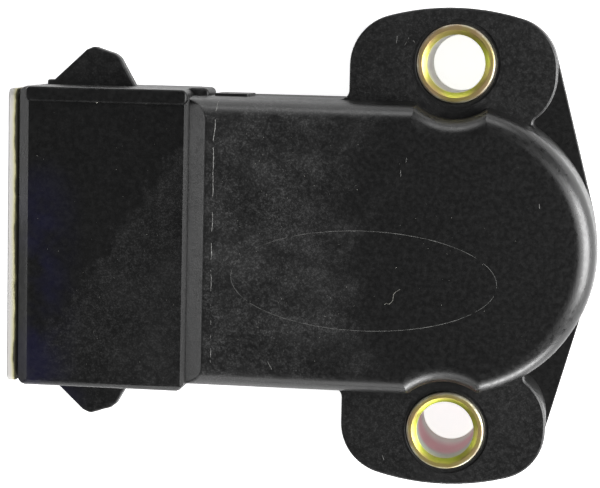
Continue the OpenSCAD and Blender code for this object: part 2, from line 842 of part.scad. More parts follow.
// Places of the two stakes in the wiper's own frame, where +X points away from the rotor axis
stake_y = -finger_len - wiper_base_w / 2;
stake_places = [[collector_r, stake_y], [resistive_r - finger_w / 4, stake_y]];

module stakes(r, top) {
    rotate([0, 0, wiper_rest_angle])
        for (place = stake_places) translate([place.x, place.y, disc_top - disc_t / 2])
            cylinder(h = top - disc_top + disc_t / 2, r = r);
}

// One finger, drawn in the wiper's Y and Z: it rises from the base and turns over at its tip
module finger(x) {
    high = track_z - finger_gap;
    low = high - finger_curl;
    half_tip = wiper_t;
    t = wiper_t;
    along_x(x - finger_w / 2, x + finger_w / 2) polygon([
        [-finger_len, disc_top], [t - finger_len, disc_top], [t - half_tip - t / 2, low],
        [t - half_tip, high - t], [half_tip, high - t], [half_tip + t, low],
        [half_tip + 2 * t, low + t / 2], [half_tip + t / 2, high], [-half_tip, high],
        [-half_tip - t, low + t / 2], [-finger_len, disc_top + t]
    ]);
}

// Stamped sheet with a base on two stakes, one finger for each track
module wiper() {
    base_low = [collector_r - finger_w, -finger_len - wiper_base_w];
    base_high = [resistive_r + finger_w / 2, overlap - finger_len];
    color(bronze) difference() {
        rotate([0, 0, wiper_rest_angle]) {
            along_z(disc_top, disc_top + wiper_t)
                translate(base_low) square(base_high - base_low);
            finger(collector_r);
            finger(resistive_r);
        }
        stakes(stake_r + run_gap, disc_top + cut);
    }
}

// Bearing and seals

module rotor_bush() {
    bore = hub_r + run_gap;
    color(bronze) difference() {
        union() {
            translate([0, 0, plate_t - bush_depth]) cylinder(h = bush_depth, r = bore + bush_wall);
            translate([0, 0, plate_t]) cylinder(h = bush_flange_t, r = bush_flange_r);
        }
        translate([0, 0, plate_t - bush_depth - cut])
            cylinder(h = bush_depth + bush_flange_t + 2 * cut, r = bore);
    }
}

module thrust_washer() {
    color(steel_grey) translate([0, 0, plate_t + bush_flange_t]) difference() {
        cylinder(h = washer_t, r = washer_r);
        translate([0, 0, -cut]) cylinder(h = washer_t + 2 * cut, r = washer_in);
    }
}

// Lip seal: a band in the plate, and a lip that leans towards the mounting face
module rotor_seal() {
    low = rotor_seal_setback;
    high = rotor_seal_setback + rotor_seal_h;
    lip = hub_r + run_gap;
    band = rotor_seal_r - seal_band_t;
    edge = low + lip_rise;
    color(rubber_black) rotate_extrude() polygon([
        [rotor_seal_r, low], [rotor_seal_r, high], [band - lip_t, high], [lip, edge + lip_land],
        [lip, edge], [lip + lip_t, edge], [band, high - lip_t], [band, low]
    ]);
}

module face_seal() {
    color(rubber_black) rotate_extrude()
        translate([face_seal_r, face_seal_recess + face_seal_d / 2]) circle(d = face_seal_d);
}

module housing_seal() {
    color(rubber_black) along_z(plate_t - bead_depth, plate_t) bead_2d();
}

// Return spring: one round wire swept along a foot, the coils and a head

spring_low = plate_t - pocket_depth + wire_d / 2 + run_gap;
spring_high = disc_z - coil_gap - wire_d / 2;
spring_rise = (spring_high - spring_low) / spring_turns;
ring_sides = 8;
rings_per_turn = 20;

// Points of the wire as [angle, height], all on the spring's mean radius
spring_path = concat(
    [[0, plate_t - pocket_depth - spring_foot + run_gap]],
    [for (i = [0:spring_turns * rings_per_turn])
        [i * 360 / rings_per_turn, spring_low + i * spring_rise / rings_per_turn]],
    [[spring_turns * 360, disc_z + spring_head]]
);

function path_point(i) = concat(spring_r * along(spring_path[i][0]), [spring_path[i][1]]);
function unit(v) = v / norm(v);
function path_heading(i) = unit(
    path_point(min(i + 1, len(spring_path) - 1)) - path_point(max(i - 1, 0)));

// One ring of the wire: outward and sideways directions carry a circle
function wire_ring(i) =
    let (out = concat(along(spring_path[i][0]), [0]))
    let (side = unit(cross(path_heading(i), out)))
    [for (k = [0:ring_sides - 1])
        path_point(i) + wire_d / 2
            * (cos(k * 360 / ring_sides) * out + sin(k * 360 / ring_sides) * side)];

module return_spring() {
    count = len(spring_path);
    last = (count - 1) * ring_sides;
    points = [for (i = [0:count - 1]) each wire_ring(i)];
    sides = [for (i = [0:count - 2], k = [0:ring_sides - 1])
        let (a = i * ring_sides, b = a + ring_sides, n = (k + 1) % ring_sides)
        each [[a + k, a + n, b + n], [a + k, b + n, b + k]]];
    start = [for (k = [0:ring_sides - 1]) ring_sides - 1 - k];
    end = [for (k = [0:ring_sides - 1]) last + k];
    color(steel_grey) polyhedron(points, concat([start, end], sides), convexity = 6);
}

// Board, tracks, terminals

module track_board() {
    color(board_green) along_z(board_z, roof_z) difference() {
        cavity_2d(board_gap);
        circle(pivot_r + board_gap);
        at_posts() circle(post_r + run_gap);
    }
}

module arc_2d(r) {
    intersection() {
        ring_2d(r + track_w / 2, r - track_w / 2);
        sector_2d(2 * cover_r, 180 - arc_half, 180 + arc_half);
    }
}

module resistive_track() {
    color(carbon_black) along_z(track_z, board_z) arc_2d(resistive_r);
}

// Contact springs: a foot on the blade's tail, a riser and a pad under the board
contact_left = cavity_left + contact_setback;
contact_pad = contact_left + contact_foot + contact_run;
contact_right = contact_pad + contact_pad_len;

// A strip with its corners at the given points and half the lead's width to each side
module lead_2d(from, to) {
    low = [min(from.x, to.x), min(from.y, to.y)] - [lead_w, lead_w] / 2;
    high = [max(from.x, to.x), max(from.y, to.y)] + [lead_w, lead_w] / 2;
    translate(low) square(high - low);
}

// End of an arc in the middle of its width
function arc_end(r, side) = r * along(180 - side * arc_half);

module pad_2d(y) {
    translate([contact_pad, y - contact_w / 2]) square([contact_pad_len, contact_w]);
}

// The collector arc with its lead to the signal pad, and a lead from each end of the carbon arc
module silver_tracks() {
    outer_y = resistive_r + track_w / 2 + lead_gap + lead_w / 2;
    pad_x = contact_pad + contact_pad_len / 2;
    inner_x = contact_right + lead_w;
    collector_end = arc_end(collector_r, 1);
    upper = arc_end(resistive_r, 1) + [-lead_w, 0];
    lower = arc_end(resistive_r, -1) + [-lead_w, 0];
    rise_x = collector_end.x + track_w / 2 + lead_w / 2;
    color(silver) along_z(track_z, board_z) {
        arc_2d(collector_r);
        lead_2d([rise_x - lead_w, collector_end.y], [rise_x, collector_end.y]);
        lead_2d([rise_x, collector_end.y], [rise_x, outer_y]);
        lead_2d([pad_x, outer_y], [rise_x, outer_y]);
        lead_2d([pad_x, blade_pitch], [pad_x, outer_y]);
        pad_2d(blade_pitch);
        difference() {
            union() {
                lead_2d([inner_x, upper.y], upper);
                lead_2d([inner_x, 0], [inner_x, upper.y]);
                lead_2d([pad_x, 0], [inner_x, 0]);
                lead_2d([pad_x, lower.y], lower);
                lead_2d([pad_x, -blade_pitch], [pad_x, lower.y]);
            }
            ring_2d(resistive_r + track_w / 2, resistive_r - track_w / 2);
        }
        pad_2d(0);
        pad_2d(-blade_pitch);
    }
}

module terminal(y) {
    tip = block_mouth + blade_setback;
    tail = contact_left + contact_foot + tail_spare;
    half = blade_t / 2;
    color(tin_grey) intersection() {
        translate([0, y, blade_z]) along_y(blade_w) polygon([
            [tip, -half + blade_bevel], [tip + 2 * blade_bevel, -half], [tail, -half],
            [tail, half], [tip + 2 * blade_bevel, half], [tip, half - blade_bevel]
        ]);
        translate([0, y, blade_z - blade_t]) linear_extrude(2 * blade_t) polygon([
            [tip, -blade_w / 2 + blade_bevel], [tip + 2 * blade_bevel, -blade_w / 2],
            [tail, -blade_w / 2], [tail, blade_w / 2], [tip + 2 * blade_bevel, blade_w / 2],
            [tip, blade_w / 2 - blade_bevel]
        ]);
    }
}

module terminal_supply() { terminal(-blade_pitch); }

module terminal_ground() { terminal(0); }

module terminal_signal() { terminal(blade_pitch); }

module contact_spring(y) {
    foot = contact_left + contact_foot;
    t = contact_t;
    color(bronze) translate([0, y, 0]) along_y(contact_w) polygon([
        [contact_left, tail_top], [foot, tail_top], [contact_pad + t, track_z - t],
        [contact_right, track_z - t], [contact_right, track_z], [contact_pad, track_z],
        [foot - t, tail_top + t], [contact_left, tail_top + t]
    ]);
}

module contact_spring_supply() { contact_spring(-blade_pitch); }

module contact_spring_ground() { contact_spring(0); }

module contact_spring_signal() { contact_spring(blade_pitch); }

housing();
back_plate();
bushing_upper();
bushing_lower();
mouth_seal();
rotor();
drive_clip();
rotor_bush();
rotor_seal();
face_seal();
housing_seal();
thrust_washer();
return_spring();
wiper();
track_board();
resistive_track();
silver_tracks();
terminal_supply();
terminal_ground();
terminal_signal();
contact_spring_supply();
contact_spring_ground();
contact_spring_signal();
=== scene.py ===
# %% [markdown]
# # A throttle position sensor, dressed for its picture
#
# The solid model of the sensor is finished: a black moulded housing with two screw ears, two
# metal bushings, a connector and the working parts inside. This script takes those solids as a
# fixed frame and gives them edges, materials, small surface details, light and a camera.

import json
import math

import bmesh
import bpy
from mathutils import Matrix, Vector
from mathutils.bvhtree import BVHTree


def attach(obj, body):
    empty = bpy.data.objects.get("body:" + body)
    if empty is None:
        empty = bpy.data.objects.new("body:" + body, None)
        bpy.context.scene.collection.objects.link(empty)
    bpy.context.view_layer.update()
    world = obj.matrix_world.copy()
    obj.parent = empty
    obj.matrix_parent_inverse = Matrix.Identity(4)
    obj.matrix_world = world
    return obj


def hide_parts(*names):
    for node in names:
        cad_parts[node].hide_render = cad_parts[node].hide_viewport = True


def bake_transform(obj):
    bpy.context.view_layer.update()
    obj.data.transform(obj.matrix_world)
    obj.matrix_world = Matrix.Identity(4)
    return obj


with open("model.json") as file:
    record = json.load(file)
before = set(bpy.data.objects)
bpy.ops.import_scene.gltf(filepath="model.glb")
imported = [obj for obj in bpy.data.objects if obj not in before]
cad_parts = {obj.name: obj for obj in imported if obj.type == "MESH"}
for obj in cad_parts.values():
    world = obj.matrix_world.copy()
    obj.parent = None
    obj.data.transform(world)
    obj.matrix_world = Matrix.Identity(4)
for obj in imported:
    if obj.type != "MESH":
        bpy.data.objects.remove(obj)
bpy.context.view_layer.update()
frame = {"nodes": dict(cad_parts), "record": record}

# %% [markdown]
# ## Units and colours
#
# Blender works in metres, and the part was drawn in millimetres, so one constant turns one into
# the other. Colours are given as sRGB hex values, as in any paint program. A shader needs
# linear light instead, so one function does that conversion for every colour here.

# %% Units and colours
MM = 0.001


def linear(code):
    """An sRGB hex colour as linear red, green, blue and alpha"""
    values = [int(code[i:i + 2], 16) / 255 for i in (0, 2, 4)]
    return [v / 12.92 if v <= 0.04045 else ((v + 0.055) / 1.055) ** 2.4 for v in values] + [1.0]


print("mid grey in linear light:", [round(v, 3) for v in linear("808080")])

# %% [markdown]
# ## Camera
#
# The photograph was taken from nearly straight above, about 20 cm away, with the camera a little
# to the right of the part and above its middle. So the walls that face right and up just show.
# A long lens at that distance is given by where the camera stands, the point it aims at and the
# direction that is up in the picture.

# %% Camera
EYE = Vector((10.515, 20.019, 195.704)) * MM
AIM = Vector((-13.975, -0.055, 10.0)) * MM
PICTURE_UP = Vector((-0.03649, 0.99405, -0.10265))
PICTURE_SIZE = (600, 488)
FOCAL_PIXELS = 2025.3
SENSOR_WIDTH = 36.0

forward = (AIM - EYE).normalized()
right = forward.cross(PICTURE_UP).normalized()
up = right.cross(forward)
camera = bpy.data.objects.new("camera", bpy.data.cameras.new("camera"))
bpy.context.scene.collection.objects.link(camera)
camera.matrix_world = Matrix.Translation(EYE) @ Matrix((right, up, -forward)).transposed().to_4x4()
camera.data.sensor_width = SENSOR_WIDTH
camera.data.lens = FOCAL_PIXELS * SENSOR_WIDTH / PICTURE_SIZE[0]
camera.data.clip_start = 0.01
bpy.context.scene.camera = camera
print("lens", round(camera.data.lens, 1), "mm")

# %% [markdown]
# ## One way to build a material
#
# A material in Blender is a small graph. One function here adds a node, sets what is set on it and
# links what is linked to it. A key that is the name or number of an input sets that input, and any
# other key is a property of the node. A second function starts a material, and a third turns a
# length into a colour by a row of colour stops.

# %% Node helpers
def add_node(tree, kind, settings=None, links=None):
    """Adds a node with its plain values and its incoming links"""
    node = tree.nodes.new(kind)
    for key, value in (settings or {}).items():
        if isinstance(key, str) and hasattr(node, key):
            setattr(node, key, value)
        else:
            node.inputs[key].default_value = value
    for key, socket in (links or {}).items():
        tree.links.new(socket, node.inputs[key])
    return node


def start_material(name, **shader_values):
    """An empty material with its shader, whose own sockets take the plain values"""
    material = bpy.data.materials.new(name)
    material.use_nodes = True
    tree = material.node_tree
    tree.nodes.clear()
    shader = add_node(tree, "ShaderNodeBsdfPrincipled", shader_values)
    add_node(tree, "ShaderNodeOutputMaterial", links={"Surface": shader.outputs[0]})
    place = add_node(tree, "ShaderNodeTexCoord").outputs["Object"]
    return material, tree, shader, place


def colour_stops(tree, value, stops, shift_mm=0.0):
    """The colour at a length in metres, along stops whose places are in mm"""
    low, high = stops[0][0], stops[-1][0]
    share = add_node(tree, "ShaderNodeMapRange", {
        "From Min": (low + shift_mm) * MM, "From Max": (high + shift_mm) * MM,
    }, {"Value": value})
    node = add_node(tree, "ShaderNodeValToRGB", links={0: share.outputs[0]})
    ramp = node.color_ramp
    for number, (place_mm, code) in enumerate(stops):
        at = (place_mm - low) / (high - low)
        stop = ramp.elements[number] if number < 2 else ramp.elements.new(at)
        stop.position, stop.color = at, linear(code)
    return node.outputs[0]


print("node helpers ready")

# %% [markdown]
# ## The black moulding
#
# Sensor housings are injection moulded in PBT, a polyester, with about a third of short glass
# fibre. Where the skin is whole it is a smooth near-black. Where hands and tools have rubbed it,
# the fibre ends show as a pale grey speckle a few tenths of a millimetre apart. On this part the
# rubbed areas are the connector's half of the cover and one corner of the connector block, and
# all that lies as low as the ears is rubbed a little. That corner's paleness is partly a painted
# reflection on its flat top. The block's mouth end has a painted bluish sheen in its base colour,
# and one half of its rim is dull. So the graph first makes one mask of how rubbed a place is, from
# its own X, Y and Z, with a noise that breaks up its borders; in the corner it also paints the
# reflection. The mask then drives the speckle, the tone and the gloss together.

# %% Moulding material
# Places in mm: of each pair, the first is where an effect starts and the second where it is full.
# A wander is how far noise moves the border to and fro
RUBBED_COVER, COVER_WANDER = (-4.5, -16.0), 14
CORNER_BORDER, CORNER_WANDER = (-0.4, 0.8), 7
# Where the painted bluish sheen lies along X, and where it fades along Y
PAINTED_BLUE_SHEEN, PAINTED_SHEEN_SIDE = (-33.5, -38.5), (9, 1)
DULL_RIM, DULL_SIDE = (-38.8, -39.7), (4, -1)
# A point on the border of the block's paler corner, and the direction into the corner. That
# corner is rubbed, and its paleness is partly a painted reflection on the flat top
RUBBED_CORNER_WITH_PAINTED_REFLECTION = (Vector((-25.3, 8.6)), Vector((0.82, -0.57)))
BLOCK_BACK = -24.25
EAR_TOP = 10.1
# How rubbed each area is, from 0 to 1, and what is added to the roughness. The corner's value
# also stands for a painted reflection there
PATCHY_RUBBED, CORNER_WEAR_AND_REFLECTION, LOW_RUBBED = (0.45, 1.0), 0.38, 0.35
RUBBED_DULLNESS, RIM_DULLNESS = 0.1, 0.22


def glass_filled_polyester(name, dark, pale, sheen, gloss, ior):
    """The moulding's material from two colours, a painted sheen, the whole skin's roughness and
    index
    """
    material, tree, shader, place = start_material(name, IOR=ior)

    def noise(size_mm, detail, roughness=0.6, vector=place):
        return add_node(tree, "ShaderNodeTexNoise", {
            "Scale": 1 / (size_mm * MM), "Detail": detail, "Roughness": roughness,
        }, {"Vector": vector}).outputs["Fac"]

    def calc(operation, first, second, third=0.0):
        settings, links = {"operation": operation}, {}
        for slot, value in enumerate((first, second, third)):
            (settings if isinstance(value, (int, float)) else links)[slot] = value
        return add_node(tree, "ShaderNodeMath", settings, links).outputs[0]

    def spread(value, low, high, to_low=0.0, to_high=1.0):
        """A soft step between two values"""
        return add_node(tree, "ShaderNodeMapRange", {
            "interpolation_type": "SMOOTHSTEP",
            "From Min": low, "From Max": high, "To Min": to_low, "To Max": to_high,
        }, {"Value": value}).outputs[0]

    def along(value, ends_mm, to_high=1.0):
        """A soft step up from 0 between two places in mm"""
        return spread(value, ends_mm[0] * MM, ends_mm[1] * MM, 0.0, to_high)

    axes = add_node(tree, "ShaderNodeSeparateXYZ", links={0: place})
    x, y, z = (axes.outputs[i] for i in range(3))
    broad = noise(6.0, 3)
    ragged = calc("MULTIPLY_ADD", noise(1.4, 5, 0.7), CORNER_WANDER * MM, -CORNER_WANDER / 2 * MM)

    cover_x = calc("MULTIPLY_ADD", broad, -COVER_WANDER * MM,
                   calc("ADD", x, COVER_WANDER / 2 * MM))
    patchy = spread(noise(2.8, 2), 0.38, 0.62, *PATCHY_RUBBED)
    on_cover = calc("MULTIPLY", along(cover_x, RUBBED_COVER), patchy)
    # The block's paler corner: partly rubbed, partly a painted reflection on its flat top
    start, slant = RUBBED_CORNER_WITH_PAINTED_REFLECTION
    offset = -(start.x * slant.x + start.y * slant.y) * MM
    past = calc("MULTIPLY_ADD", x, slant.x, calc("MULTIPLY_ADD", y, slant.y, offset))
    corner_wear_and_reflection = along(calc("ADD", past, ragged), CORNER_BORDER, CORNER_WEAR_AND_REFLECTION)
    is_block = calc("LESS_THAN", x, BLOCK_BACK * MM)
    on_top = add_node(tree, "ShaderNodeMix",
                      links={0: is_block, 2: on_cover, 3: corner_wear_and_reflection}).outputs[0]
    is_low = calc("LESS_THAN", z, EAR_TOP * MM)
    # This mask also carries the painted reflection in the block's corner
    rubbed = calc("MAXIMUM", on_top, calc("MULTIPLY", is_low, LOW_RUBBED))

    grain = noise(0.17, 3, 0.8)
    clumps = noise(0.45, 3, 0.65)
    speckle = spread(calc("MULTIPLY_ADD", clumps, 0.3, grain), 0.6, 0.88)
    shown = calc("MULTIPLY", speckle, calc("MULTIPLY_ADD", rubbed, 0.95, 0.06))
    tone = calc("ADD", shown, calc("MULTIPLY", spread(broad, 0.35, 0.7),
                                   calc("MULTIPLY_ADD", rubbed, 0.2, 0.02)))
    skin = add_node(tree, "ShaderNodeMix", {
        "data_type": "RGBA", 6: linear(dark), 7: linear(pale),
    }, {0: tone}).outputs[2]
    # Painted sheen: a bluish reflection mixed into the base colour at the block's mouth end
    painted_sheen_mask = calc("MULTIPLY", along(x, PAINTED_BLUE_SHEEN),
                calc("MULTIPLY", spread(broad, 0.35, 0.6), along(y, PAINTED_SHEEN_SIDE)))
    tinted = add_node(tree, "ShaderNodeMix", {"data_type": "RGBA", 7: linear(sheen)},
                      {0: painted_sheen_mask, 6: skin}).outputs[2]
    tree.links.new(tinted, shader.inputs["Base Color"])

    whole_skin = spread(clumps, 0.3, 0.7, gloss - 0.05, gloss + 0.06)
    rough = calc("MULTIPLY_ADD", rubbed, RUBBED_DULLNESS, whole_skin)
    dull_rim = calc("MULTIPLY", along(x, DULL_RIM), along(y, DULL_SIDE))
    rough = calc("MULTIPLY_ADD", dull_rim, RIM_DULLNESS, rough)
    tree.links.new(rough, shader.inputs["Roughness"])
    streak_place = add_node(tree, "ShaderNodeMapping", {"Scale": (1, 0.3, 1)}, {"Vector": place})
    streak = noise(0.4, 2, 0.5, streak_place.outputs[0])
    bump = add_node(tree, "ShaderNodeBump", {"Strength": 0.3, "Distance": 0.02 * MM},
                    {"Height": calc("MULTIPLY_ADD", streak, 0.3, grain)})
    tree.links.new(bump.outputs[0], shader.inputs["Normal"])
    return material


# The third colour of each is the painted bluish sheen
moulded_black = glass_filled_polyester("moulded black glass filled polyester",
                                       "080808", "404040", "0e0d22", 0.32, 1.6)
plate_black = glass_filled_polyester("moulded black polyester plate",
                                     "060606", "161616", "0a0a0c", 0.34, 1.45)
print("moulding materials:", moulded_black.name, "and", plate_black.name)

# %% [markdown]
# ## The yellow bushings
#
# The bushings are turned from steel, zinc plated and yellow passivated. The film is thicker on the
# flat end, where it looks brown to pink, and thinner on the bevel, where it is a yellow green. The
# very edge is rubbed to bare zinc. The lower bushing's bore has a rosy band and the upper one's is
# pale. So the colour follows the distance to the hole's axis, with some noise, and inside the bore
# it follows the height. Both bushings share the material: the distance takes the Y coordinate
# without its sign, and the sign picks the bore's colours.

# %% Bushing material
HOLE_Y = 17.0
BORE_R = 2.65
FILM_BY_RADIUS = [(2.6, "bcc35c"), (2.75, "adb544"), (3.02, "bcb850"), (3.14, "b0a05c"),
                  (3.36, "b3a268"), (3.48, "c6bf9c"), (3.6, "dedbc8")]
ROSY_FILM = "b08878"
ROSY_BORE = [(2.0, "e6dfdc"), (4.5, "e6a9b4"), (7.0, "e2a9b2"), (8.4, "c2d0c6"), (9.8, "d2d8b4")]
PALE_BORE = [(2.0, "eeedea"), (4.5, "ece9e6"), (7.0, "e6e2dc"), (8.4, "dedcc8"), (9.8, "dcda9c")]
STAIN_WANDER = 0.5
TURNING_PITCH = 0.12


def passivated_zinc():
    material, tree, shader, place = start_material("turned steel zinc plated yellow passivated",
                                                   Metallic=0.75)
    axes = add_node(tree, "ShaderNodeSeparateXYZ", links={0: place})
    across = add_node(tree, "ShaderNodeMath", {"operation": "ABSOLUTE"}, {0: axes.outputs[1]})
    across = add_node(tree, "ShaderNodeMath", {"operation": "SUBTRACT", 1: HOLE_Y * MM},
                      {0: across.outputs[0]})
    flat = add_node(tree, "ShaderNodeCombineXYZ", links={0: axes.outputs[0], 1: across.outputs[0]})
    radius = add_node(tree, "ShaderNodeVectorMath", {"operation": "LENGTH"},
                      {0: flat.outputs[0]}).outputs["Value"]
    stain = add_node(tree, "ShaderNodeTexNoise", {"Scale": 1 / (1.3 * MM), "Detail": 4},
                     {"Vector": place}).outputs["Fac"]
    shift = add_node(tree, "ShaderNodeMath", {
        "operation": "MULTIPLY_ADD", 1: STAIN_WANDER * MM, 2: -STAIN_WANDER / 2 * MM,
    }, {0: stain})
    blurred = add_node(tree, "ShaderNodeMath", {"operation": "ADD"},
                       {0: radius, 1: shift.outputs[0]})
    film = colour_stops(tree, blurred.outputs[0], FILM_BY_RADIUS)
    inside = add_node(tree, "ShaderNodeMath", {"operation": "LESS_THAN", 1: (BORE_R + 0.02) * MM},
                      {0: radius})
    patches = add_node(tree, "ShaderNodeTexNoise", {"Scale": 1 / (1.9 * MM), "Detail": 2},
                       {"Vector": place}).outputs["Fac"]
    rosy = add_node(tree, "ShaderNodeMapRange", {"From Min": 0.46, "From Max": 0.6, "To Max": 0.4},
                    {"Value": patches})
    face = add_node(tree, "ShaderNodeMix", {"data_type": "RGBA", 7: linear(ROSY_FILM)},
                    {0: rosy.outputs[0], 6: film})
    is_upper = add_node(tree, "ShaderNodeMath", {"operation": "GREATER_THAN", 1: 0.0},
                        {0: axes.outputs[1]})
    height = axes.outputs[2]
    bore = add_node(tree, "ShaderNodeMix", {"data_type": "RGBA"}, {
        0: is_upper.outputs[0],
        6: colour_stops(tree, height, ROSY_BORE), 7: colour_stops(tree, height, PALE_BORE),
    })
    colour = add_node(tree, "ShaderNodeMix", {"data_type": "RGBA"},
                      {0: inside.outputs[0], 6: face.outputs[2], 7: bore.outputs[2]})
    tree.links.new(colour.outputs[2], shader.inputs["Base Color"])
    rough = add_node(tree, "ShaderNodeMapRange", {"To Min": 0.3, "To Max": 0.48}, {"Value": stain})
    tree.links.new(rough.outputs[0], shader.inputs["Roughness"])
    turns = add_node(tree, "ShaderNodeMath", {
        "operation": "MULTIPLY", 1: 2 * math.pi / (TURNING_PITCH * MM),
    }, {0: radius})
    wave = add_node(tree, "ShaderNodeMath", {"operation": "SINE"}, {0: turns.outputs[0]})
    bump = add_node(tree, "ShaderNodeBump", {"Strength": 0.3, "Distance": 0.01 * MM},
                    {"Height": wave.outputs[0]})
    tree.links.new(bump.outputs[0], shader.inputs["Normal"])
    return material


bushing_zinc = passivated_zinc()
print("bushing material:", bushing_zinc.name)

# %% [markdown]
# ## Plainer materials
#
# The working parts inside have simpler finishes. Each is one shader with a fine noise that varies
# its tone and its gloss, at a grain size that suits the stuff: rubber and acetal are smooth,
# rolled strip has a fine grain, and a glass laminate shows its weave.

# %% Plain finishes
def plain_finish(name, dark, pale, grain_mm, rough_low, rough_high, bump_mm=0.005, **values):
    """A material whose tone and roughness follow one fine noise"""
    material, tree, shader, place = start_material(name, **values)
    grain = add_node(tree, "ShaderNodeTexNoise", {"Scale": 1 / (grain_mm * MM), "Detail": 4},
                     {"Vector": place})
    tone = add_node(tree, "ShaderNodeMapRange", {"From Min": 0.3, "From Max": 0.7},
                    {"Value": grain.outputs["Fac"]})
    colour = add_node(tree, "ShaderNodeMix", {
        "data_type": "RGBA", 6: linear(dark), 7: linear(pale),
    }, {0: tone.outputs[0]})
    tree.links.new(colour.outputs[2], shader.inputs["Base Color"])
    rough = add_node(tree, "ShaderNodeMapRange", {
        "From Min": 0.3, "From Max": 0.7, "To Min": rough_low, "To Max": rough_high,
    }, {"Value": grain.outputs["Fac"]})
    tree.links.new(rough.outputs[0], shader.inputs["Roughness"])
    bump = add_node(tree, "ShaderNodeBump", {"Strength": 0.4, "Distance": bump_mm * MM},
                    {"Height": grain.outputs["Fac"]})
    tree.links.new(bump.outputs[0], shader.inputs["Normal"])
    return material


finishes = {
    "rotor_moulding": plain_finish("moulded natural acetal", "cfc8b2", "e2dcc9", 1.2, 0.3, 0.42,
                                   IOR=1.48),
    "spring_steel": plain_finish("drawn bright spring steel", "9c9ea2", "b9bbbf", 0.2, 0.2, 0.34,
                                 Metallic=1.0),
    "bronze": plain_finish("sintered bronze", "8a5f33", "ad7d49", 0.15, 0.4, 0.6, 0.01,
                           Metallic=1.0),
    "seal_rubber": plain_finish("moulded nitrile rubber", "131313", "1e1e1e", 0.5, 0.55, 0.7,
                                IOR=1.52),
    "contact_bronze": plain_finish("rolled phosphor bronze", "b88752", "cf9f6a", 0.3, 0.2, 0.32,
                                   Metallic=1.0),
    "board": plain_finish("green glass fibre laminate", "1c4a2c", "2b6440", 0.4, 0.3, 0.45,
                          IOR=1.55),
    "carbon_ink": plain_finish("printed carbon ink", "191919", "262626", 0.12, 0.45, 0.6, IOR=1.5),
    "silver_ink": plain_finish("printed silver ink", "b2b2b2", "cfcfcf", 0.12, 0.35, 0.5,
                               Metallic=1.0),
    "tinned_brass": plain_finish("tin plated brass", "b4b1aa", "cac7c0", 0.35, 0.25, 0.4,
                                 Metallic=1.0),
    "moulding": moulded_black,
    "plate_moulding": plate_black,
    "passivated_zinc": bushing_zinc,
}
print("finishes:", len(finishes))

# %% [markdown]
# ## The pale seal
#
# The strip at the mouth is moulded silicone. It is pale grey outside and has yellowed towards the
# block, and along the joint with the block it darkens to near black with an uneven edge: painted
# shadow of the narrow gap there. All three follow X, so one row of colour stops does it, and a
# noise moves the stops to and fro for the uneven edge.

# %% Seal material
# The darkest stops, at the joint with the block, are painted shadow of the narrow gap there
SEAL_AND_GAP_SHADOW_STOPS = [(-41.25, "c6c4c3"), (-40.92, "c6c3be"), (-40.74, "c9c5a8"), (-40.62, "aaa57c"),
              (-40.57, "5a583c"), (-40.5, "262419")]
SEAL_STOP_WANDER = 0.34


def yellowed_silicone():
    material, tree, shader, place = start_material("moulded grey silicone, yellowed", IOR=1.41)
    axes = add_node(tree, "ShaderNodeSeparateXYZ", links={0: place})
    wander = add_node(tree, "ShaderNodeTexNoise", {"Scale": 1 / (1.6 * MM), "Detail": 3},
                      {"Vector": place}).outputs["Fac"]
    moved = add_node(tree, "ShaderNodeMath", {"operation": "MULTIPLY_ADD", 1: SEAL_STOP_WANDER * MM},
                     {0: wander, 2: axes.outputs[0]})
    colour = colour_stops(tree, moved.outputs[0], SEAL_AND_GAP_SHADOW_STOPS, SEAL_STOP_WANDER / 2)
    tree.links.new(colour, shader.inputs["Base Color"])
    grain = add_node(tree, "ShaderNodeTexNoise", {"Scale": 1 / (0.5 * MM), "Detail": 4},
                     {"Vector": place}).outputs["Fac"]
    rough = add_node(tree, "ShaderNodeMapRange", {"To Min": 0.5, "To Max": 0.75}, {"Value": grain})
    tree.links.new(rough.outputs[0], shader.inputs["Roughness"])
    bump = add_node(tree, "ShaderNodeBump", {"Strength": 0.3, "Distance": 0.01 * MM},
                    {"Height": grain})
    tree.links.new(bump.outputs[0], shader.inputs["Normal"])
    return material


finishes["pale_seal"] = yellowed_silicone()
for part in frame["record"]["subparts"]:
    mesh = frame["nodes"][part["node"]].data
    mesh.materials.clear()
    mesh.materials.append(finishes[part["material_slot"]])

# %% [markdown]
# ## Edges that catch the light
#
# No moulded or turned edge is perfectly sharp, and the fine bright lines that outline this part in
# a photograph are its small edge radii. The solids have the large radii. The small ones are added
# here: the solid's mesh is copied, its loose triangles are merged and the flat ones joined. Then
# each outward edge that turns by more than 30 degrees, that has room beside it and that can be
# seen from outside is marked, and a bevel rounds what is marked. That room keeps one radius from
# running into the next, so the bevel needs no limit of its own. Faces square to an axis are shaded
# flat. The copy then stands for the solid.

# %% Rounded copies of the visible solids
# Angles in degrees and lengths in mm
SHARP_ANGLE, ROUNDED_FROM, SAME_PLANE = 15, 30, 0.5
SAME_POINT, ON_SURFACE, RAY_START = 0.002, 0.03, 0.02
ROOM_IN_RADII = 1.5
BEVEL_SEGMENTS = 2
SAME_WAY, SQUARE_TO_AXIS = 0.9, 0.9999
# The block's top ends 0.03 mm above the foot of the slope: that step is filled here
STEP_X, STEP_LOW, STEP_HIGH = -24.25, 12.65, 12.68


def fill_step(form):
    """Lifts the foot of the step beside the connector block to the block's own edge"""
    for vert in form.verts:
        x, _, z = vert.co / MM
        if abs(x - STEP_X) < 0.01 and abs(z - STEP_LOW) < 0.005:
            vert.co.z = STEP_HIGH * MM


def at_step(point):
    """Whether a point lies on the filled step, whose edges stay sharp"""
    return abs(point.x / MM - STEP_X) < 0.1 and abs(point.z / MM - STEP_HIGH) < 0.4


def plain_mesh(piece):
    """The piece's mesh with its modifiers applied"""
    shown = piece.evaluated_get(bpy.context.evaluated_depsgraph_get())
    return bpy.data.meshes.new_from_object(shown)


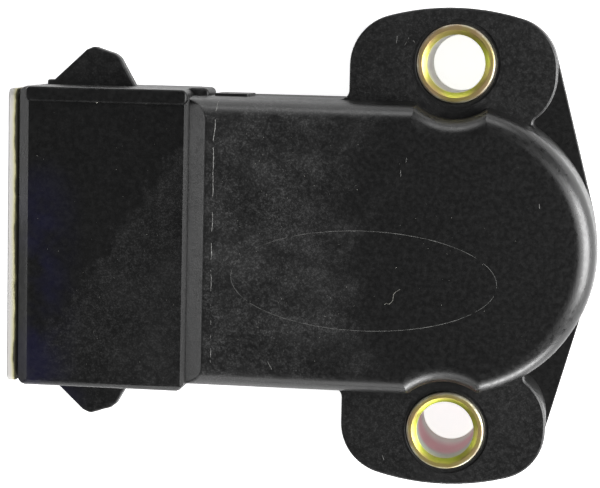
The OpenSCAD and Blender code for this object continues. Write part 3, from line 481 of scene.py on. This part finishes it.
def has_room(solid, edge, radius):
    """Whether both faces of an edge go on for a radius and a half from its middle"""
    middle = (edge.verts[0].co + edge.verts[1].co) / 2
    for loop in edge.link_loops:
        normal = loop.face.normal
        inward = normal.cross(loop.link_loop_next.vert.co - loop.vert.co).normalized()
        _, found, _, distance = solid.find_nearest(middle + inward * ROOM_IN_RADII * radius)
        if distance > ON_SURFACE * MM or found.dot(normal) < SAME_WAY:
            return False
    return True


def mark_outer_edges(form, radius):
    """Gives weight 1 to the outward edges that have room and from which a ray gets away"""
    weight = form.edges.layers.float.new("bevel_weight_edge")
    solid = BVHTree.FromBMesh(form)
    marked = 0
    for edge in form.edges:
        if len(edge.link_faces) != 2 or not edge.is_convex:
            continue
        if edge.calc_face_angle() < math.radians(ROUNDED_FROM):
            continue
        away = (edge.link_faces[0].normal + edge.link_faces[1].normal).normalized()
        middle = (edge.verts[0].co + edge.verts[1].co) / 2
        if at_step(middle) or not has_room(solid, edge, radius):
            continue
        if solid.ray_cast(middle + away * RAY_START * MM, away)[0] is None:
            edge[weight] = 1.0
            marked += 1
    return marked


def rounded_copy(node, name, radius_mm):
    """A copy of a solid with its outer edges rounded"""
    mesh = frame["nodes"][node].data.copy()
    form = bmesh.new()
    form.from_mesh(mesh)
    if node == "housing":
        fill_step(form)
    bmesh.ops.remove_doubles(form, verts=form.verts, dist=SAME_POINT * MM)
    bmesh.ops.dissolve_limit(form, angle_limit=math.radians(SAME_PLANE), verts=form.verts,
                             edges=form.edges)
    form.normal_update()
    marked = mark_outer_edges(form, radius_mm * MM)
    form.to_mesh(mesh)
    form.free()
    rough = bpy.data.objects.new(name + "_rough", mesh)
    bpy.context.scene.collection.objects.link(rough)
    bevel = rough.modifiers.new("edges", "BEVEL")
    bevel.width = radius_mm * MM
    bevel.segments = BEVEL_SEGMENTS
    bevel.limit_method = "WEIGHT"
    bevel.use_clamp_overlap = False
    rounded = plain_mesh(rough)
    rounded.shade_smooth()
    rounded.set_sharp_from_angle(angle=math.radians(SHARP_ANGLE))
    for face in rounded.polygons:
        face.use_smooth = max(abs(value) for value in face.normal) < SQUARE_TO_AXIS
    piece = bpy.data.objects.new(name, rounded)
    bpy.context.scene.collection.objects.link(piece)
    shading = piece.modifiers.new("flat faces stay flat", "WEIGHTED_NORMAL")
    shading.keep_sharp = True
    piece.data = plain_mesh(piece)
    piece.modifiers.clear()
    bpy.data.objects.remove(rough)
    print(name, "has", len(piece.data.polygons), "faces and", marked, "rounded edges")
    return piece


dressed = {}
for node, name, slot, radius in [
    ("housing", "housing_moulding", "moulding", 0.18),
    ("back_plate", "back_plate_moulding", "plate_moulding", 0.08),
    ("bushing_upper", "upper_bushing_turned", "passivated_zinc", 0.05),
    ("bushing_lower", "lower_bushing_turned", "passivated_zinc", 0.05),
    ("mouth_seal", "mouth_seal_moulded", "pale_seal", 0.1),
]:
    piece = rounded_copy(node, name, radius)
    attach(piece, "root")
    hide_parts(node)
    dressed[node] = piece

# %% [markdown]
# ## The return spring
#
# The spring's foot stands in the back plate and its head in the rotor's disc, so it winds up as
# the rotor turns. Here a copy of its solid, with its place baked into its mesh, stands in for it.

# %% Return spring
spring = bpy.data.objects.new("return_spring_wound", frame["nodes"]["return_spring"].data.copy())
bpy.context.scene.collection.objects.link(spring)
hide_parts("return_spring")
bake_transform(spring)

# %% [markdown]
# ## Marks that follow a line
#
# A mould leaves witness lines: a plain oval where an insert meets the cavity, and a broken line
# across the foot of the cover. Use leaves a curled fibre and a few scratches. All of them are one
# thing, a thread that follows a path over the surface, so one Geometry Nodes tree makes them all:
# it turns the path into a curve, resamples it, lets it wander a little with a noise, and sweeps a
# small round section along it. Its size, wander and seed are inputs of the tree.

# %% Thread tree
WANDERS_PER_METRE = 700.0


def input_names(tree):
    """The inner name that a modifier needs for each input of a tree"""
    return {item.name: item.identifier for item in tree.interface.items_tree
            if item.in_out == "INPUT"}


def start_geometry(name, inputs):
    """A tree with a geometry in and out, and one named input for each size"""
    tree = bpy.data.node_groups.new(name, "GeometryNodeTree")
    tree.interface.new_socket("Geometry", in_out="INPUT", socket_type="NodeSocketGeometry")
    for title, kind in inputs:
        tree.interface.new_socket(title, in_out="INPUT", socket_type="NodeSocket" + kind)
    tree.interface.new_socket("Geometry", in_out="OUTPUT", socket_type="NodeSocketGeometry")
    return tree, tree.nodes.new("NodeGroupInput").outputs


def thread_tree():
    tree, given = start_geometry("thread on a surface", [
        ("Radius", "Float"), ("Wander", "Float"), ("Step", "Float"), ("Seed", "Float"),
        ("Material", "Material"),
    ])
    curve = add_node(tree, "GeometryNodeMeshToCurve", links={0: given["Geometry"]})
    even = add_node(tree, "GeometryNodeResampleCurve", {"mode": "LENGTH"},
                    {"Curve": curve.outputs[0], "Length": given["Step"]})
    noise = add_node(tree, "ShaderNodeTexNoise", {
        "noise_dimensions": "4D", "Scale": WANDERS_PER_METRE, "Detail": 3,
    }, {"W": given["Seed"]})
    centred = add_node(tree, "ShaderNodeVectorMath", {"operation": "SUBTRACT", 1: (0.5, 0.5, 0.5)},
                       {0: noise.outputs["Color"]})
    sideways = add_node(tree, "ShaderNodeVectorMath", {"operation": "MULTIPLY", 1: (1, 1, 0)},
                        {0: centred.outputs[0]})
    offset = add_node(tree, "ShaderNodeVectorMath", {"operation": "SCALE"},
                      {0: sideways.outputs[0], "Scale": given["Wander"]})
    moved = add_node(tree, "GeometryNodeSetPosition",
                     links={"Geometry": even.outputs[0], "Offset": offset.outputs[0]})
    thickness = add_node(tree, "ShaderNodeMapRange", {
        "From Min": 0.35, "From Max": 0.65, "To Min": 0.7, "To Max": 1.25,
    }, {"Value": noise.outputs["Fac"]})
    section = add_node(tree, "GeometryNodeCurvePrimitiveCircle", {"Resolution": 6},
                       {"Radius": given["Radius"]})
    tube = add_node(tree, "GeometryNodeCurveToMesh", {"Fill Caps": True}, {
        "Curve": moved.outputs[0], "Profile Curve": section.outputs[0],
        "Scale": thickness.outputs[0],
    })
    solid = add_node(tree, "GeometryNodeRealizeInstances", links={0: tube.outputs[0]})
    coloured = add_node(tree, "GeometryNodeSetMaterial",
                        links={"Geometry": solid.outputs[0], "Material": given["Material"]})
    add_node(tree, "NodeGroupOutput", links={0: coloured.outputs[0]})
    return tree


def grown(name, tree, seed_mesh, values):
    """A plain mesh object that a Geometry Nodes tree grows from a seed mesh"""
    piece = bpy.data.objects.new(name, seed_mesh)
    bpy.context.scene.collection.objects.link(piece)
    growth = piece.modifiers.new("growth", "NODES")
    growth.node_group = tree
    names = input_names(tree)
    for title, value in values.items():
        growth[names[title]] = value
    piece.data = plain_mesh(piece)
    piece.modifiers.clear()
    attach(piece, "root")
    print(name, "has", len(piece.data.polygons), "faces")


thread = thread_tree()
print("inputs of the thread:", list(input_names(thread)))

# %% [markdown]
# ## Laying the marks on the part
#
# Each path is given in X and Y and dropped straight down onto the housing, so it follows the
# rounded edges too. The witness lines and the scratches are the moulding's own black, rubbed pale
# along their raised backs. The line across the foot is pale only in specks. The fibre is a pale
# lint.

# %% Witness lines, fibre and scratches
rubbed_black = plain_finish("moulded polyester, rubbed pale", "4a4a49", "7e7e7b", 0.35, 0.45, 0.6,
                            IOR=1.5)
faint_black = plain_finish("moulded polyester, witness line", "2e2e2d", "6c6c6a", 0.6, 0.45, 0.6,
                           IOR=1.5)
specked_black = plain_finish("moulded polyester, rubbed in specks", "1c1c1c", "8a8a87", 0.3, 0.45,
                             0.6, IOR=1.5)
lint = plain_finish("cotton lint", "4c4b47", "85847d", 0.3, 0.7, 0.9, IOR=1.47)
housing_surface = BVHTree.FromObject(dressed["housing"], bpy.context.evaluated_depsgraph_get())
DROP_FROM = 30.0


def on_housing(x, y, sink):
    """The point below X and Y in mm, sunk by some mm under the housing's surface"""
    hit = housing_surface.ray_cast(Vector((x, y, DROP_FROM)) * MM, Vector((0, 0, -1)))[0]
    return (x * MM, y * MM, hit.z - sink * MM)


def path_mesh(name, points, sink, closed):
    """A chain of edges along points on the housing"""
    mesh = bpy.data.meshes.new(name)
    count = len(points)
    edges = [(i, (i + 1) % count) for i in range(count if closed else count - 1)]
    mesh.from_pydata([on_housing(x, y, sink) for x, y in points], edges, [])
    return mesh


def between(points, pieces):
    """Points along straight legs, with each leg cut into equal pieces"""
    out = []
    for (x0, y0), (x1, y1) in zip(points, points[1:]):
        out += [(x0 + (x1 - x0) * i / pieces, y0 + (y1 - y0) * i / pieces) for i in range(pieces)]
    return out + [points[-1]]


OVAL_CENTRE, OVAL_HALF, OVAL_POINTS = (-7.65, -2.8), (12.14, 4.57), 120
oval = []
for step in range(OVAL_POINTS):
    turn = 2 * math.pi * step / OVAL_POINTS
    oval.append((OVAL_CENTRE[0] + OVAL_HALF[0] * math.cos(turn),
                 OVAL_CENTRE[1] + OVAL_HALF[1] * math.sin(turn)))
mould_line = between([(-21.36, 13.2), (-21.43, 12.3), (-21.65, 9.6), (-21.6, 4.1), (-21.66, -1.4),
                      (-21.56, -7.0), (-21.52, -12.9)], 12)
MOULD_LINE_THIN = 49  # the point from which that line is thinner
fibre = between([(-5.63, -4.86), (-5.45, -4.72), (-5.18, -4.8), (-4.87, -4.51), (-4.83, -4.14),
                 (-4.79, -3.82), (-4.48, -3.58), (-4.04, -3.29)], 3)
scratches = [
    [(-4.72, 18.6), (-4.36, 19.3)], [(-5.5, 18.75), (-5.44, 19.4)], [(-3.95, 19.0), (-3.8, 18.8)],
    [(-5.6, -20.1), (-5.75, -19.65)], [(-4.43, 6.8), (-4.47, 7.4)],
    [(-16.2, -10.6), (-15.8, -11.3)], [(-4.0, 8.1), (-3.95, 8.5)], [(8.07, 4.35), (8.03, 4.75)],
]
# Name, path, depth below the surface, whether it closes, radius, wander and finish
marks = [
    ("oval_witness_line", oval, 0.022, True, 0.032, 0.06, faint_black),
    ("mould_witness_line", mould_line[:MOULD_LINE_THIN], 0.045, False, 0.053, 0.35, specked_black),
    ("mould_witness_line_end", mould_line[MOULD_LINE_THIN - 1:], 0.034, False, 0.042, 0.35,
     specked_black),
    ("curled_fibre", fibre, 0.024, False, 0.033, 0.12, lint),
]
for number, ends in enumerate(scratches, 1):
    marks.append(("scratch_%d" % number, between(ends, 5), 0.022, False, 0.035, 0.05,
                  rubbed_black))
THREAD_STEP, FIRST_SEED = 0.12, 3.0
for number, (name, points, sink, closed, radius, wander, stuff) in enumerate(marks):
    grown(name, thread, path_mesh(name, points, sink, closed), {
        "Radius": radius * MM, "Wander": wander * MM, "Step": THREAD_STEP * MM,
        "Seed": FIRST_SEED + number, "Material": stuff,
    })

# %% [markdown]
# ## Dust
#
# Dust and lint sit on every part that has been in use. A second Geometry Nodes tree scatters
# points over a patch of the surface with a fixed seed, puts a small angular crumb on each, and
# turns and sizes the crumbs at random. The crumbs are drawn a little larger than real dust, so
# that they still show in a small picture.

# %% Dust tree
def dust_tree():
    tree, given = start_geometry("dust on a surface", [
        ("Density", "Float"), ("Size", "Float"), ("Seed", "Int"), ("Material", "Material"),
    ])
    points = add_node(tree, "GeometryNodeDistributePointsOnFaces", links={
        "Mesh": given["Geometry"], "Density": given["Density"], "Seed": given["Seed"],
    })
    crumb = add_node(tree, "GeometryNodeMeshIcoSphere", {"Subdivisions": 1},
                     {"Radius": given["Size"]})
    turn = add_node(tree, "FunctionNodeRandomValue", {
        "data_type": "FLOAT_VECTOR", 1: (0.3, 0.3, 6.28),
    }, {"Seed": given["Seed"]})
    size = add_node(tree, "FunctionNodeRandomValue", {
        "data_type": "FLOAT_VECTOR", 0: (0.35, 0.3, 0.2), 1: (1.5, 0.9, 0.35),
    }, {"Seed": given["Seed"]})
    crumbs = add_node(tree, "GeometryNodeInstanceOnPoints", links={
        "Points": points.outputs[0], "Instance": crumb.outputs[0],
        "Rotation": turn.outputs[0], "Scale": size.outputs[0],
    })
    solid = add_node(tree, "GeometryNodeRealizeInstances", links={0: crumbs.outputs[0]})
    coloured = add_node(tree, "GeometryNodeSetMaterial",
                        links={"Geometry": solid.outputs[0], "Material": given["Material"]})
    add_node(tree, "NodeGroupOutput", links={0: coloured.outputs[0]})
    return tree


dust = dust_tree()
dust_grey = plain_finish("settled dust", "84837d", "bcbbb4", 0.4, 0.8, 0.95, IOR=1.4)
print("inputs of the dust:", list(input_names(dust)))

# %% [markdown]
# Most of the dust lies on the cover's half next to the connector. So three patches take different
# densities: that half, the rest of the cover, and the top of the connector block. Some larger
# bits are placed one by one: along the rail, where moulding flash and dirt collect, on the cover,
# on the block and on the ears.

# %% Dust patches
PATCH_SINK = 0.004


def patch_mesh(name, low, high):
    """A flat patch just under the housing's surface, between two corners"""
    mesh = bpy.data.meshes.new(name)
    corners = [(x, y) for y in (low[1], high[1]) for x in (low[0], high[0])]
    mesh.from_pydata([on_housing(x, y, PATCH_SINK) for x, y in corners], [], [(0, 1, 3, 2)])
    return mesh


PER_MM2 = 1e6
for seed, (name, low, high, density, size) in enumerate([
    ("dust_near_connector", (-21.0, -10.6), (-8, 10.6), 0.3, 0.035),
    ("dust_on_cover", (-8, -8), (7.4, 8), 0.12, 0.035),
    ("dust_on_block", (-38.6, -12.2), (-24.9, 11.8), 0.14, 0.03),
], 11):
    grown(name, dust, patch_mesh(name, low, high), {
        "Density": density * PER_MM2, "Size": size * MM, "Seed": seed, "Material": dust_grey,
    })

BITS = [(-36.6, 13.9), (-36.3, 13.85), (-32.64, 12.72), (-28.05, 12.74), (-38.44, 10.34),
        (-24.9, 7.79), (-20.62, 8.72), (-9.19, -4.96), (1.91, -2.6), (-1.21, -0.81),
        (-13.43, -8.64), (-31.5, 13.8), (-29.7, 13.85), (-29.4, 13.8), (-34.47, -4.36),
        (-8.2, 18.4), (-6.56, -17.07), (-9.0, -17.95)]
BIT_SINK = 0.03
bits = bmesh.new()
for number, (x, y) in enumerate(BITS):
    spot = Vector(on_housing(x, y, BIT_SINK))
    turned = Matrix.Rotation(1.7 * number, 4, "Z") @ Matrix.Diagonal((1.3, 0.8, 0.3, 1))
    bmesh.ops.create_icosphere(bits, subdivisions=1, radius=(0.06 + 0.02 * (number % 3)) * MM,
                               matrix=Matrix.Translation(spot) @ turned)
bit_mesh = bpy.data.meshes.new("larger_bits")
bits.to_mesh(bit_mesh)
bits.free()
bit_mesh.materials.append(plain_finish("caked dust", "7d7c74", "aeada4", 0.4, 0.8, 0.95, IOR=1.4))
bit_piece = bpy.data.objects.new("larger_bits", bit_mesh)
bpy.context.scene.collection.objects.link(bit_piece)
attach(bit_piece, "root")
print("larger bits:", len(BITS))

# %% [markdown]
# ## Floor and background
#
# The part lies on its mounting face on a white sheet. The sheet is matt white and takes the part's
# shadow. What the camera and the reflections see of it is lifted to pure white by a little glow
# that no lamp light comes from, so the part itself isn't lit by it.

# %% Floor and world
FLOOR_SIZE = 2.0
WHITE_LIFT = 0.85
LIFT_IN_GLOSS = 0.45
ROOM_LIGHT = 0.06
SKY_IN_GLOSS = 0.03

floor_mesh = bpy.data.meshes.new("white_sheet")
half = FLOOR_SIZE / 2
corners = [(-half, -half, 0), (half, -half, 0), (half, half, 0), (-half, half, 0)]
floor_mesh.from_pydata(corners, [], [(0, 1, 2, 3)])
floor = bpy.data.objects.new("white_sheet", floor_mesh)
bpy.context.scene.collection.objects.link(floor)
sheet = bpy.data.materials.new("matt white paper")
sheet.use_nodes = True
tree = sheet.node_tree
tree.nodes.clear()


def seen_share(tree, share):
    """1 for what the camera sees, the given share for what gloss and glass show, else 0"""
    rays = add_node(tree, "ShaderNodeLightPath").outputs
    indirect = add_node(tree, "ShaderNodeMath", {"operation": "MAXIMUM"},
                        {0: rays["Is Glossy Ray"], 1: rays["Is Transmission Ray"]})
    return add_node(tree, "ShaderNodeMath", {"operation": "MULTIPLY_ADD", 1: share},
                    {0: indirect.outputs[0], 2: rays["Is Camera Ray"]}).outputs[0]


lift = add_node(tree, "ShaderNodeMath", {"operation": "MULTIPLY", 1: WHITE_LIFT},
                {0: seen_share(tree, LIFT_IN_GLOSS)})
paper = add_node(tree, "ShaderNodeBsdfDiffuse", {"Color": (0.85, 0.85, 0.85, 1)})
glow = add_node(tree, "ShaderNodeEmission", {"Color": (1, 1, 1, 1)}, {"Strength": lift.outputs[0]})
both = add_node(tree, "ShaderNodeAddShader", links={0: paper.outputs[0], 1: glow.outputs[0]})
add_node(tree, "ShaderNodeOutputMaterial", links={"Surface": both.outputs[0]})
floor_mesh.materials.append(sheet)

world = bpy.data.worlds.new("studio")
bpy.context.scene.world = world
world.use_nodes = True
tree = world.node_tree
tree.nodes.clear()
room = add_node(tree, "ShaderNodeBackground", {
    "Color": (0.96, 0.98, 1.0, 1), "Strength": ROOM_LIGHT,
})
white = add_node(tree, "ShaderNodeBackground", {"Color": (1, 1, 1, 1), "Strength": 1.0})
shown = add_node(tree, "ShaderNodeMixShader", links={
    0: seen_share(tree, SKY_IN_GLOSS), 1: room.outputs[0], 2: white.outputs[0],
})
add_node(tree, "ShaderNodeOutputWorld", links={"Surface": shown.outputs[0]})
print("floor", FLOOR_SIZE, "m across")

# %% [markdown]
# ## Light
#
# The brightest lines of the photograph run along edges that face right, so the strongest softbox
# stands on the right, with a weak one above it. A low one towards the lower right lights the edges
# that face that way. A weak one on the left lights the sloped end of the cover, and one from each
# long side, far and near, draws the long edges. Nothing bright hangs straight above, because the
# flat black top would mirror it.

# %% Lights
LAMP_AIM = Vector((-14, 0, 6)) * MM


def softbox(name, place_mm, size_mm, watts):
    """A rectangular lamp that faces the part"""
    data = bpy.data.lights.new(name, "AREA")
    data.shape = "RECTANGLE"
    data.size, data.size_y = size_mm[0] * MM, size_mm[1] * MM
    data.energy = watts
    lamp = bpy.data.objects.new(name, data)
    place = Vector(place_mm) * MM
    lamp.location = place
    lamp.rotation_euler = (LAMP_AIM - place).to_track_quat("-Z", "Y").to_euler()
    bpy.context.scene.collection.objects.link(lamp)


softbox("right_softbox", (355, -5, 170), (290, 240), 3.4)
softbox("upper_right_softbox", (230, 0, 330), (280, 150), 0.45)
softbox("low_right_softbox", (170, -365, 60), (230, 116), 1.25)
softbox("left_softbox", (-430, 0, 120), (300, 100), 0.39)
softbox("far_softbox", (-20, 400, 150), (420, 160), 0.7)
softbox("near_softbox", (-20, -400, 150), (420, 160), 0.5)
bpy.context.scene.view_settings.view_transform = "Standard"
